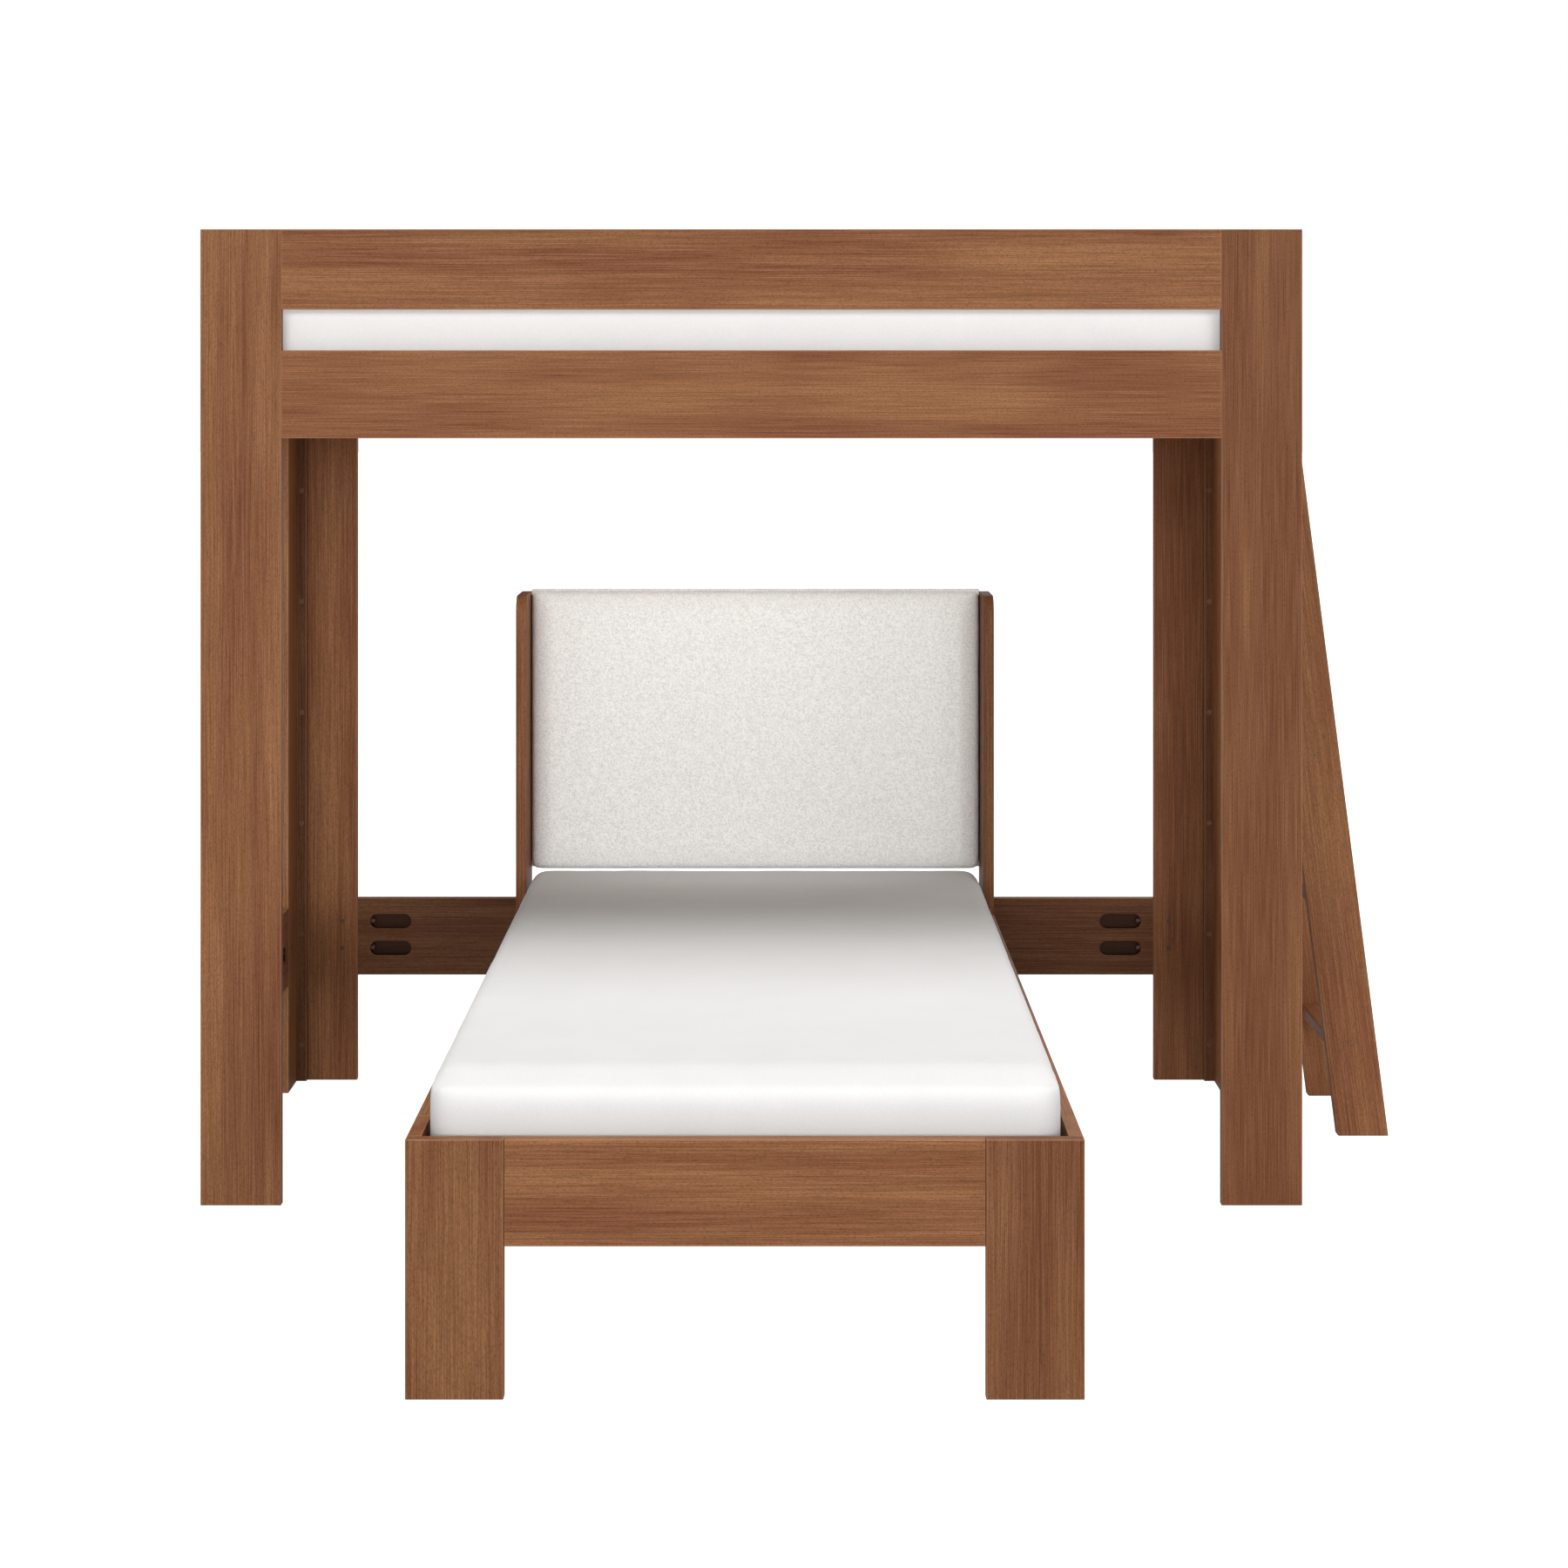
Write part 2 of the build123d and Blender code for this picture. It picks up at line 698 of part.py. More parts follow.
def bed_rails():
    """The rails of the lower bed by name."""
    level = (bed_rail_bottom, bed_rail_height)
    wing_start = bed_length - wing_depth
    leg_start = bed_length - bed_leg_width
    return {
        "footboard_panel": long_rail(foot_wall, bed_leg_width, *level),
        "right_side_rail": Rail(bed_right_wall, bed_leg_width, wing_start, *level, pocket_shares, both_ends),
        "left_side_rail": Rail(bed_left_wall, wing_depth, leg_start, *level, pocket_shares, both_ends),
    }


def between_wings(thickness, bottom, height):
    """A board between the wings, flush with their back edges."""
    span = bed_width - 2 * bed_board
    return bed_place * Pos(bed_length - thickness, bed_board, bottom) * board(thickness, span, height)


def panel_screw_places():
    """Screws through both wings into the ends of the head rail and the backing board."""
    places = []
    for thickness, bottom, height in ((bed_board, bed_rail_bottom, bed_rail_height),
                                      (backing_board, headboard_bottom, headboard_height)):
        line = bed_length - thickness / 2
        for level in (bottom + panel_screw_inset, bottom + height - panel_screw_inset):
            places.append(bed_place * Pos(line, 0, level) * head_outwards)
            places.append(bed_place * Pos(line, bed_width, level) * head_inwards)
    return places


def headboard_cushion():
    """The upholstered cushion on the backing board, between the wings."""
    span = bed_width - 2 * bed_board - 2 * soft_gap
    slab = soft_slab(headboard_height, span, cushion_thickness,
                     cushion_corner, cushion_edge, cushion_pinch, cushion_crown)
    middle = Pos(bed_length - backing_board, bed_width / 2, headboard_bottom + headboard_height / 2)
    return bed_place * middle * Rot(0, -quarter_turn, 0) * slab


def lower_bed():
    """The nodes of the lower bed."""
    rails = bed_rails()
    first_slat = bed_board + cleat_width + ledger_gap
    base = (bed_place, bed_width, bed_board, bed_rail_bottom)
    last_slat = mattress_start + mattress_length
    ledger_end = bed_length - bed_board - ledger_gap
    right_ledger, left_ledger = ledgers(*base, first_slat, ledger_end)
    spread = (*base, first_slat, last_slat)
    rows = (bed_cleat_length, bed_cleat_screw_inset, bed_cleat_screw_count)
    cleat_places = cleat_screw_places(foot_wall, *rows)
    bolts = bolt_places(rails.values())
    nuts = nut_places(rails.values())
    screws = ((slat_screw, slat_screw_places(*spread)), (ledger_screw, ledger_screw_places(*spread)),
              (cleat_screw, cleat_places), (panel_screw, panel_screw_places()))
    holes = copies(bolt_hole(), bolts) + copies(barrel_hole(bed_board), nuts)
    for kind, places in screws:
        holes += copies(screw_hole(kind), places)
    wood = bed_legs()
    wood.update({name: make_rail(rail) for name, rail in rails.items()})
    wood["head_rail"] = between_wings(bed_board, bed_rail_bottom, bed_rail_height)
    wood["headboard_backing"] = between_wings(backing_board, headboard_bottom, headboard_height)
    nodes = {name: [drill(shape, holes)] for name, shape in wood.items()}
    nodes["bed_slat_ledgers"] = [drill(shape, holes) for shape in (right_ledger, left_ledger)]
    nodes["foot_leg_cleats"] = [drill(shape, holes) for shape in corner_cleats(foot_wall, bed_cleat_length)]
    nodes["bed_slats"] = [drill(slat, holes) for slat in slats(*spread)]
    nodes["bed_connector_bolts"] = copies(bolt(), bolts)
    nodes["bed_barrel_nuts"] = copies(barrel_nut(bed_board), nuts)
    nodes["bed_screws"] = [shape for kind, places in screws for shape in copies(screw(kind), places)]
    nodes["headboard_cushion"] = [headboard_cushion()]
    return nodes


def mattresses():
    """The two mattresses."""
    loft_start = (loft_length - mattress_length) / 2
    loft_side = (loft_depth - mattress_width) / 2
    bed_side = (bed_width - mattress_width) / 2
    slat_top = ledger_size + slat_thickness
    return {
        "loft_mattress": [mattress(loft_place, loft_start, loft_side, loft_rail_bottom + slat_top)],
        "lower_mattress": [mattress(bed_place, mattress_start, bed_side, bed_rail_bottom + slat_top)],
    }


os.makedirs("parts", exist_ok=True)
for nodes in (loft_frame(), ladder(), lower_bed(), mattresses()):
    for name, solids in nodes.items():
        shape = solids[0] if len(solids) == 1 else Compound(children=solids)
        export_step(shape, f"parts/{name}.step")
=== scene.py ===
from collections import namedtuple
import json
import math

import bmesh
import bpy
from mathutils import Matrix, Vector

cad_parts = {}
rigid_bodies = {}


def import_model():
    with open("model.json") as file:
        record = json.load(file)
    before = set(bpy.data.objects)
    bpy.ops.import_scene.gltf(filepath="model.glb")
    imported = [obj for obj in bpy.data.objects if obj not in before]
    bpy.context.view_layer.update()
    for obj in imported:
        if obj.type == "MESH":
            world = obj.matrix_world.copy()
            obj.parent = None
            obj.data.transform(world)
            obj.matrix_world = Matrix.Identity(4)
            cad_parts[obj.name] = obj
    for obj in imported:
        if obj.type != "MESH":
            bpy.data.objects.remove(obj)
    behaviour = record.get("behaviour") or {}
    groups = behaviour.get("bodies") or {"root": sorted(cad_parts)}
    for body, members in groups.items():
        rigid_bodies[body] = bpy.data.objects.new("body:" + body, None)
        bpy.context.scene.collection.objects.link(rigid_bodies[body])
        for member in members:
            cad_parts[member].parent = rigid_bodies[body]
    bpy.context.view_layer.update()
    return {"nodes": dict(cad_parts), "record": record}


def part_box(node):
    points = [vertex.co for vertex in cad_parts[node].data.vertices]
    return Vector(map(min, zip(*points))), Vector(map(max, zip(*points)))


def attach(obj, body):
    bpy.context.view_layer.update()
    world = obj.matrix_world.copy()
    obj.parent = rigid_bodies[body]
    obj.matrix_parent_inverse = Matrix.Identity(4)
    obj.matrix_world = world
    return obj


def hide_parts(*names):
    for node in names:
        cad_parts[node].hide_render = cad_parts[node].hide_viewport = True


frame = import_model()
scene = bpy.context.scene

# Lengths are in metres. The photograph's frame is in pixels.
photo_side = 1800
focal_pixels = 3440
centre_column = 894
horizon_row = 439
camera_place = (-0.0811, -5.5347, 1.526)
sensor_width = 36

# The studio's soft lights: where each one stands, how strong it is in Blender's units and how wide it looks,
# in radians. Then the strength of the surround, and the glow of the floor for everything and for the camera.
studio_lights = {
    "left_light": ((-1.4, -6.9, 0.6), 1.95, 0.65),
    "right_light": ((3.2, -6.2, 0.6), 1.38, 0.6),
    "top_light": ((0.0, -0.4, 7.0), 3.15, 0.85),
    "back_light": ((3.0, 6.0, 2.5), 1.0, 0.8),
}
surround_strength = 0.05
floor_glow = 0.28
floor_glow_seen = 1.0

# Colours of the finishes, linear
walnut = {"dark": (0.085, 0.029, 0.012), "red": (0.205, 0.07, 0.026), "gold": (0.313, 0.137, 0.053),
          "light": (0.463, 0.228, 0.119)}
pine = {"dark": (0.42, 0.28, 0.15), "red": (0.55, 0.39, 0.23), "gold": (0.62, 0.47, 0.29),
        "light": (0.74, 0.6, 0.42)}
floor_colour = (0.4, 0.4, 0.4)
floor_roughness = 0.9
pocket_shadow = (0.03, 0.011, 0.005)
joint_shadow = (0.05, 0.02, 0.01)
bronze_colour = (0.15, 0.07, 0.035)
# Painted shade: the bolts and nuts deep in the boards get a bronze darkened for the shade of their holes.
sunk_shade_colour = (0.08, 0.036, 0.02)
hook_colour = (0.035, 0.03, 0.028)
boucle_light = (0.985, 0.97, 0.945)
boucle_dark = (0.765, 0.755, 0.738)
ticking_light = (0.71, 0.705, 0.697)
ticking_dark = (0.66, 0.655, 0.65)

# The grain of timber: the size of each feature along the grain and across it, then the detail, roughness and
# distortion of its noise. Each board's grain starts at a place of its own.
grain_features = {
    "bands": (1.1, 0.042, 1.0, 0.5, 0.1),
    "patches": (0.34, 0.11, 1.0, 0.5, 0.0),
    "streaks": (0.42, 0.0022, 3.0, 0.6, 0.04),
    "fibres": (0.15, 0.0014, 3.0, 0.6, 0.0),
    "brushing": (0.2, 0.0016, 2.0, 0.6, 0.0),
    "pores": (0.03, 0.0014, 1.0, 0.5, 0.0),
    "specks": (0.005, 0.0016, 1.0, 0.5, 0.0),
}
board_offset = (0.37, 0.53, 0.71)

# The hue goes from red to gold over a range of the bands, to which a share of the patches is added. Then
# each layer mixes in a colour over a range of its feature, up to a share of it.
patch_share = 0.6
hue_range = (0.62, 0.98)
grain_layers = (
    ("streaks", "dark", 0.42, 0.66, 0.3),
    ("fibres", "dark", 0.46, 0.66, 0.42),
    ("brushing", "light", 0.44, 0.64, 0.34),
    ("pores", "dark", 0.6, 0.72, 0.4),
    ("specks", "dark", 0.45, 0.7, 0.42),
)
pine_contrast = 0.7
walnut_specular = 0.1
pine_specular = 0.3

# How rough and how metallic the fasteners and the hooks are
bronze_finish = (0.55, 0.2)
sunk_finish = (0.55, 0.2)
hook_finish = (0.5, 0.6)

# Fine textures: a feature's size along X, Y and Z, then the detail, roughness and distortion of its noise
fine_textures = {
    "loops": ((0.0034, 0.0034, 0.003), 1.0, 0.5, 0.8),
    "knots": ((0.002, 0.002, 0.002), 1.5, 0.6, 0.6),
    "shade": ((0.022, 0.022, 0.022), 2.0, 0.5, 0.0),
    "knit": ((0.0022, 0.0022, 0.0022), 2.0, 0.55, 0.0),
    "mottle": ((0.09, 0.09, 0.09), 2.0, 0.5, 0.0),
    "paint": ((0.004, 0.004, 0.004), 3.0, 0.6, 0.0),
}

# The range that most of a noise lies in
noise_range = (0.3, 0.7)

# Timber: its pores' share against its brushing, how rough it is, and its bumps' depth and strength
pore_share = -0.5
wood_roughness = (0.42, 0.6)
wood_bump = (0.0005, 0.5)

# Painted metal: how far the mottle takes its colour and its roughness down and up, and its bumps
metal_shades = (0.75, 1.25)
metal_roughness = (-0.07, 0.09)
metal_bump = (0.0001, 0.4)

# The headboard's yarn: the shares of the knots and of the soft shade in its height, the range of the height
# that goes from dark to light, a place on the way and the tone there, its bumps, its sheen and how rough
# that is, and its own roughness and gloss
knot_share = 0.8
shade_share = 0.08
boucle_range = (0.75, 1.1)
boucle_middle = 0.55
boucle_middle_tone = 0.92
boucle_bump = (0.0024, 0.8)
boucle_sheen = 0.2
boucle_sheen_roughness = 0.5
boucle_roughness = 0.95
boucle_specular = 0.15

# The mattresses' knit in the same way
mottle_share = 0.4
ticking_range = (0.45, 0.95)
ticking_bump = (0.0005, 0.35)
ticking_sheen = 0.15
ticking_roughness = 0.9
ticking_specular = 0.2

# How deep under a board's faces a pocket's shade starts, how full it is, and how wide a joint's line is
pocket_margin = 0.0022
pocket_share = 0.85
joint_width = 0.0013

# How wide and how full the painted highlight along an eased edge is, a lighter colour where the edge would
# catch the light. An edge lies in the outer bands of two pairs of faces, so the count of bands has to be
# above one.
edge_highlight_width = 0.0018
edge_highlight_share = 0.3
edge_count = 1.5

# The ends of the names of the boards that lie square to the axes
square_boards = ("_rail", "_stretcher", "_panel", "_face", "_side", "_stile", "_cleat")

# How close to a stringer's end its outline is read
end_band = 0.003

# The cloth that is turned round the headboard's backing board: its thickness, how far it goes down the front
# and down the back, the room that it leaves beside the wings, and how far the cushion hangs below its middle
wrap_thickness = 0.001
wrap_front = 0.012
wrap_turn = 0.032
wrap_gap = 0.001
cushion_sag = 0.0025

# How much light each stained board gives back, against plain walnut, and how far its hue leans to gold.
# Beside the boards' own tone this holds painted light and shade: the rear posts' sides, the rear stringer
# and the treads are made lighter where the lamps leave them dim, the corner cleats and the rear stretcher
# darker for the shade that falls on them.
board_tones_and_painted_light = {
    "front_left_post_face": (0.88, 0.0),
    "front_right_post_face": (0.79, -0.12),
    "rear_left_post_face": (0.92, 0.0),
    "rear_right_post_face": (0.86, -0.14),
    "rear_left_post_side": (0.98, 0.0),
    "rear_right_post_side": (1.5, 0.0),
    "rear_left_corner_cleat": (0.58, 0.0),
    "rear_right_corner_cleat": (0.6, 0.0),
    "front_guard_rail": (0.93, 0.0),
    "foot_left_leg_face": (0.79, 0.03),
    "foot_right_leg_face": (0.77, -0.1),
    "footboard_panel": (0.92, 0.03),
    "front_stringer": (0.98, 0.02),
    "rear_stringer": (1.25, 0.0),
    "tread_1": (1.2, 0.0),
    "tread_2": (1.2, 0.0),
    "tread_3": (1.2, 0.0),
    "tread_4": (1.2, 0.0),
    "tread_5": (1.2, 0.0),
    "left_headboard_wing": (1.02, -0.08),
    "right_headboard_wing": (0.77, -0.12),
    "rear_stretcher": (0.56, -0.12),
}
plain_tone = (0.88, 0.0)
rail_tone = (0.94, 0.0)
# The loft mattress's knit is made lighter than the lower one's, as painted light where its rails shade it.
mattress_painted_light = {"loft_mattress": 1.18, "lower_mattress": 1.0}

# Which way the grain runs in each board
grain_along_x = ("front_guard_rail", "rear_guard_rail", "front_bed_rail", "rear_bed_rail", "rear_stretcher",
                 "footboard_panel", "head_rail", "headboard_backing")
grain_along_y = ("left_guard_rail", "right_guard_rail", "left_bed_rail", "right_bed_rail", "left_stretcher",
                 "right_stretcher", "left_side_rail", "right_side_rail")
pale_along_x = ("front_slat_ledger", "rear_slat_ledger", "bed_slats")
stringers = ("front_stringer", "rear_stringer")

# The fasteners that are seen on the boards and those deep in them
screw_nodes = ("corner_cleat_screws", "loft_slat_screws", "bed_screws", "ladder_screws")
sunk_nodes = ("loft_connector_bolts", "bed_connector_bolts", "loft_barrel_nuts", "bed_barrel_nuts")


# A block's upright corners, its edges, how far in its top starts to slope at the foot, at the sides and at
# the head, how far it slopes down, the size of its cloth's squares, and how far the cloth may move
Upholstery = namedtuple("Upholstery", "corner edge reach side_reach head_reach drop voxel cap")
mattress_shape = Upholstery(0.04, 0.006, 0.082, 0.016, 0.008, 0.022, 0.015, (0.003, 0.003, 0.004))
cushion_shape = Upholstery(0.016, 0.017, 0.045, 0.045, 0.036, 0.013, 0.006, (0.0015, 0.0015, 0.004))

# How much larger each block is than its node's box
mattress_growth = (0.003, 0.003, 0.001)
cushion_growth = (0, 0.006, 0)

# The faces that a bevel makes at a block's upright corners, round its foot and round its rim
corner_segments = 6
foot_segments = 3
rim_segments = 4

# How far apart two points may be and still be at one height, how much of the top counts as its head end, and
# how flat a top face is
same_height = 0.0005
head_band = 0.05
flat_enough = 0.9

# An edge of the outline lies between a face that is this upright and one that is at least this flat
upright_enough = 0.1
sloped_enough = 0.3

# The cloth that puffs the blocks: its pressure, its quality and how many frames it runs for. Then how
# strongly and how often the result is smoothed.
puff_pressure = 4
puff_quality = 4
puff_frames = 20
smooth_factor = 0.4
smooth_rounds = 2

floor_size = 120
floor_drop = 0.0005


def nodes_of(slot):
    """The names of the nodes that the record gives one material slot."""
    return [part["node"] for part in frame["record"]["subparts"] if part["material_slot"] == slot]


def stringer_lean():
    """The angle that the ladder's stringers lean from the upright, from the foot and the top of one."""
    low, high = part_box("front_stringer")
    points = [vertex.co for vertex in frame["nodes"]["front_stringer"].data.vertices]
    top_outer = max(point.x for point in points if point.z > high.z - end_band)
    foot_outer = max(point.x for point in points if point.z < low.z + end_band)
    return math.atan2(foot_outer - top_outer, high.z - low.z)


class Shader:
    """A material's node tree, with short calls to add and join nodes."""

    def __init__(self, name):
        self.material = bpy.data.materials.new(name)
        self.material.use_nodes = True
        self.tree = self.material.node_tree
        self.surface = self.tree.nodes["Principled BSDF"]

    def add(self, kind, **settings):
        node = self.tree.nodes.new(kind)
        for name, value in settings.items():
            setattr(node, name, value)
        return node

    def join(self, source, target):
        self.tree.links.new(source, target)

    def coordinates(self, sizes, offset=(0, 0, 0), lean=0.0):
        """Object coordinates counted in features of the given sizes, turned by a lean about Y."""
        place = self.add("ShaderNodeTexCoord")
        mapping = self.add("ShaderNodeMapping", vector_type="TEXTURE")
        mapping.inputs["Location"].default_value = offset
        mapping.inputs["Rotation"].default_value = (0, -lean, 0)
        mapping.inputs["Scale"].default_value = sizes
        self.join(place.outputs["Object"], mapping.inputs["Vector"])
        return mapping.outputs["Vector"]

    def noise(self, vector, detail, roughness, distortion):
        node = self.add("ShaderNodeTexNoise")
        node.inputs["Scale"].default_value = 1.0
        node.inputs["Detail"].default_value = detail
        node.inputs["Roughness"].default_value = roughness
        node.inputs["Distortion"].default_value = distortion
        self.join(vector, node.inputs["Vector"])
        return node.outputs["Fac"]

    def fine_texture(self, name):
        size, *settings = fine_textures[name]
        return self.noise(self.coordinates(size), *settings)

    def ramp(self, factor, stops):
        """A colour ramp through (place, colour) stops."""
        node = self.add("ShaderNodeValToRGB")
        ramp = node.color_ramp
        while len(ramp.elements) < len(stops):
            ramp.elements.new(1.0)
        for element, (place, colour) in zip(ramp.elements, stops):
            element.position = place
            element.color = (*colour, 1.0)
        self.join(factor, node.inputs["Fac"])
        return node.outputs["Color"]

    def span(self, factor, low, high, to_low=0.0, to_high=1.0):
        """Map a factor from one range to another."""
        node = self.add("ShaderNodeMapRange")
        for name, value in (("From Min", low), ("From Max", high), ("To Min", to_low), ("To Max", to_high)):
            node.inputs[name].default_value = value
        self.join(factor, node.inputs["Value"])
        return node.outputs["Result"]

    def mix(self, first, second, factor):
        """Mix two colours, of which the first may be a socket, by a factor."""
        node = self.add("ShaderNodeMix", data_type="RGBA", clamp_factor=True)
        for value, name in ((first, "A"), (second, "B")):
            socket = next(s for s in node.inputs if s.name == name and s.type == "RGBA")
            if isinstance(value, tuple):
                socket.default_value = (*value, 1.0)
            else:
                self.join(value, socket)
        self.join(factor, node.inputs["Factor"])
        return next(s for s in node.outputs if s.type == "RGBA")

    def calculate(self, operation, *values):
        """One step of arithmetic on sockets and numbers."""
        node = self.add("ShaderNodeMath", operation=operation)
        for value, socket in zip(values, node.inputs):
            if isinstance(value, float):
                socket.default_value = value
            else:
                self.join(value, socket)
        return node.outputs["Value"]

    def blend_values(self, first, second, share):
        """A sum of two factors, the second at a share of its height."""
        return self.calculate("MULTIPLY_ADD", second, share, first)

    def distances(self, centre):
        """How far a point is from a centre along X, Y and Z."""
        place = self.add("ShaderNodeTexCoord")
        parts = self.add("ShaderNodeSeparateXYZ")
        self.join(place.outputs["Object"], parts.inputs["Vector"])
        shifts = [self.calculate("SUBTRACT", part, middle) for part, middle in zip(parts.outputs, centre)]
        return [self.calculate("ABSOLUTE", shift) for shift in shifts]

    def bump(self, height, distance, strength=1.0):
        node = self.add("ShaderNodeBump")
        node.inputs["Strength"].default_value = strength
        node.inputs["Distance"].default_value = distance
        self.join(height, node.inputs["Height"])
        self.join(node.outputs["Normal"], self.surface.inputs["Normal"])

    def finish(self, colour, roughness, metallic=0.0, specular=0.5):
        """Set the shader's own sockets. The colour and the roughness may be sockets."""
        if isinstance(colour, tuple):
            self.surface.inputs["Base Color"].default_value = (*colour, 1.0)
        else:
            self.join(colour, self.surface.inputs["Base Color"])
        if isinstance(roughness, float):
            self.surface.inputs["Roughness"].default_value = roughness
        else:
            self.join(roughness, self.surface.inputs["Roughness"])
        self.surface.inputs["Metallic"].default_value = metallic
        self.surface.inputs["Specular IOR Level"].default_value = specular
        return self.material


def toned(colour, tone):
    """A colour made lighter or darker."""
    return tuple(channel * tone for channel in colour)


def grain_sizes(axis, length, width):
    """The sizes of a grain feature, long along the grain's axis."""
    return tuple(length if name == axis else width for name in "xyz")


def wood(name, axis, colours, tone, seed, lean=0.0, contrast=1.0, gold_lean=0.0):
    """Wire-brushed timber: bands between two hues, with streaks, fibres, brushing, pores and specks."""
    shades = {key: toned(colour, tone) for key, colour in colours.items()}
    shader = Shader(name)
    offset = tuple(step * seed for step in board_offset)
    features = {}
    for feature, (length, width, *settings) in grain_features.items():
        place = shader.coordinates(grain_sizes(axis, length, width), offset, lean)
        features[feature] = shader.noise(place, *settings)
    hue = shader.blend_values(features["bands"], features["patches"], patch_share)
    hue = shader.span(hue, hue_range[0] - gold_lean, hue_range[1] - gold_lean)
    colour = shader.mix(shades["red"], shades["gold"], hue)
    for feature, shade, low, high, share in grain_layers:
        layer = shader.span(features[feature], low, high, 0.0, share * contrast)
        colour = shader.mix(colour, shades[shade], layer)
    roughness = shader.span(features["fibres"], *noise_range, *wood_roughness)
    height = shader.blend_values(features["brushing"], features["pores"], pore_share)
    shader.bump(height, *wood_bump)
    return shader, colour, roughness


def board_marks(shader, colour, node):
    """Painted highlight on a board's eased edges, and painted shade deep in its pockets and screw holes."""
    low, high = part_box(node)
    half = (high - low) / 2
    spans = shader.distances((low + high) / 2)
    outer = [shader.calculate("GREATER_THAN", span, reach - edge_highlight_width) for span, reach in zip(spans, half)]
    edges = shader.calculate("ADD", shader.calculate("ADD", outer[0], outer[1]), outer[2])
    edges = shader.calculate("GREATER_THAN", edges, edge_count)
    # Painted highlight: the eased edges are mixed towards light walnut.
    colour = shader.mix(colour, walnut["light"], shader.calculate("MULTIPLY", edges, edge_highlight_share))
    # Painted shade: the inside of the board, where only its pockets and holes reach, is darkened.
    inner = [shader.calculate("LESS_THAN", span, reach - pocket_margin) for span, reach in zip(spans, half)]
    inner = shader.calculate("MULTIPLY", shader.calculate("MULTIPLY", inner[0], inner[1]), inner[2])
    return shader.mix(colour, pocket_shadow, shader.calculate("MULTIPLY", inner, pocket_share))


def joint_line(shader, colour, node):
    """A dark line where a panel's ends meet the legs."""
    low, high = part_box(node)
    along = shader.distances((low + high) / 2)[0]
    line = shader.calculate("GREATER_THAN", along, (high.x - low.x) / 2 - joint_width)
    return shader.mix(colour, joint_shadow, line)


def metal(name, colour, finish):
    """Painted metal with a slight mottle."""
    roughness, metallic = finish
    shader = Shader(name)
    mottle = shader.fine_texture("paint")
    stops = [(place, toned(colour, shade)) for place, shade in zip(noise_range, metal_shades)]
    tint = shader.ramp(mottle, stops)
    shader.bump(mottle, *metal_bump)
    rough = shader.span(mottle, *noise_range, *(roughness + shift for shift in metal_roughness))
    return shader.finish(tint, rough, metallic=metallic)


def boucle():
    """Off-white looped yarn: small curled bumps with shaded gaps between them."""
    shader = Shader("headboard_boucle")
    height = shader.blend_values(shader.fine_texture("loops"), shader.fine_texture("knots"), knot_share)
    height = shader.blend_values(height, shader.fine_texture("shade"), shade_share)
    middle = toned(boucle_light, boucle_middle_tone)
    stops = ((0.0, boucle_dark), (boucle_middle, middle), (1.0, boucle_light))
    colour = shader.ramp(shader.span(height, *boucle_range), stops)
    shader.bump(height, *boucle_bump)
    shader.surface.inputs["Sheen Weight"].default_value = boucle_sheen
    shader.surface.inputs["Sheen Roughness"].default_value = boucle_sheen_roughness
    return shader.finish(colour, boucle_roughness, specular=boucle_specular)


def ticking(name, tone):
    """Smooth white knit with a fine texture and a faint mottle."""
    shader = Shader(name)
    knit = shader.fine_texture("knit")
    height = shader.blend_values(knit, shader.fine_texture("mottle"), mottle_share)
    # The tone lightens the loft mattress's knit as painted light.
    stops = ((0.0, toned(ticking_dark, tone)), (1.0, toned(ticking_light, tone)))
    colour = shader.ramp(shader.span(height, *ticking_range), stops)
    shader.bump(knit, *ticking_bump)
    shader.surface.inputs["Sheen Weight"].default_value = ticking_sheen
    return shader.finish(colour, ticking_roughness, specular=ticking_specular)


def dress(node, material):
    """Give a node, or a new piece, one material."""
    piece = frame["nodes"][node] if isinstance(node, str) else node
    piece.data.materials.clear()
    piece.data.materials.append(material)


def dress_wood():
    """Every board gets timber of its own, with the grain along it."""
    lean = stringer_lean()
    for seed, node in enumerate(nodes_of("walnut_wood"), start=1):
        axis = "x" if node in grain_along_x else "y" if node in grain_along_y or "tread" in node else "z"
        # A board's tone is its own tone and, for some boards, painted light or shade.
        tone, gold_lean = board_tones_and_painted_light.get(node, rail_tone if axis == "x" else plain_tone)
        turn = lean if node in stringers else 0.0
        name = f"walnut_{node}"
        shader, colour, roughness = wood(name, axis, walnut, tone, seed, turn, gold_lean=gold_lean)
        if node.endswith(square_boards):
            colour = board_marks(shader, colour, node)
        if node == "footboard_panel":
            colour = joint_line(shader, colour, node)
        dress(node, shader.finish(colour, roughness, specular=walnut_specular))
    for seed, node in enumerate(nodes_of("slat_wood"), start=1):
        axis = "x" if node in pale_along_x else "y"
        shader, colour, roughness = wood(f"pine_{node}", axis, pine, 1.0, seed, contrast=pine_contrast)
        dress(node, shader.finish(colour, roughness, specular=pine_specular))


def dress_metal():
    """Screws are bronze; bolts and nuts deep in the boards get a bronze darkened as painted shade of their
    pockets and holes; the ladder's hooks are dark painted steel.
    """
    bronze = metal("bronze", bronze_colour, bronze_finish)
    sunk = metal("shaded_bronze", sunk_shade_colour, sunk_finish)
    for nodes, material in ((screw_nodes, bronze), (sunk_nodes, sunk)):
        for node in nodes:
            dress(node, material)
    dress("ladder_hooks", metal("hook_paint", hook_colour, hook_finish))


def activate(piece):
    """Make one piece the only selected one."""
    bpy.ops.object.select_all(action="DESELECT")
    piece.select_set(True)
    bpy.context.view_layer.objects.active = piece


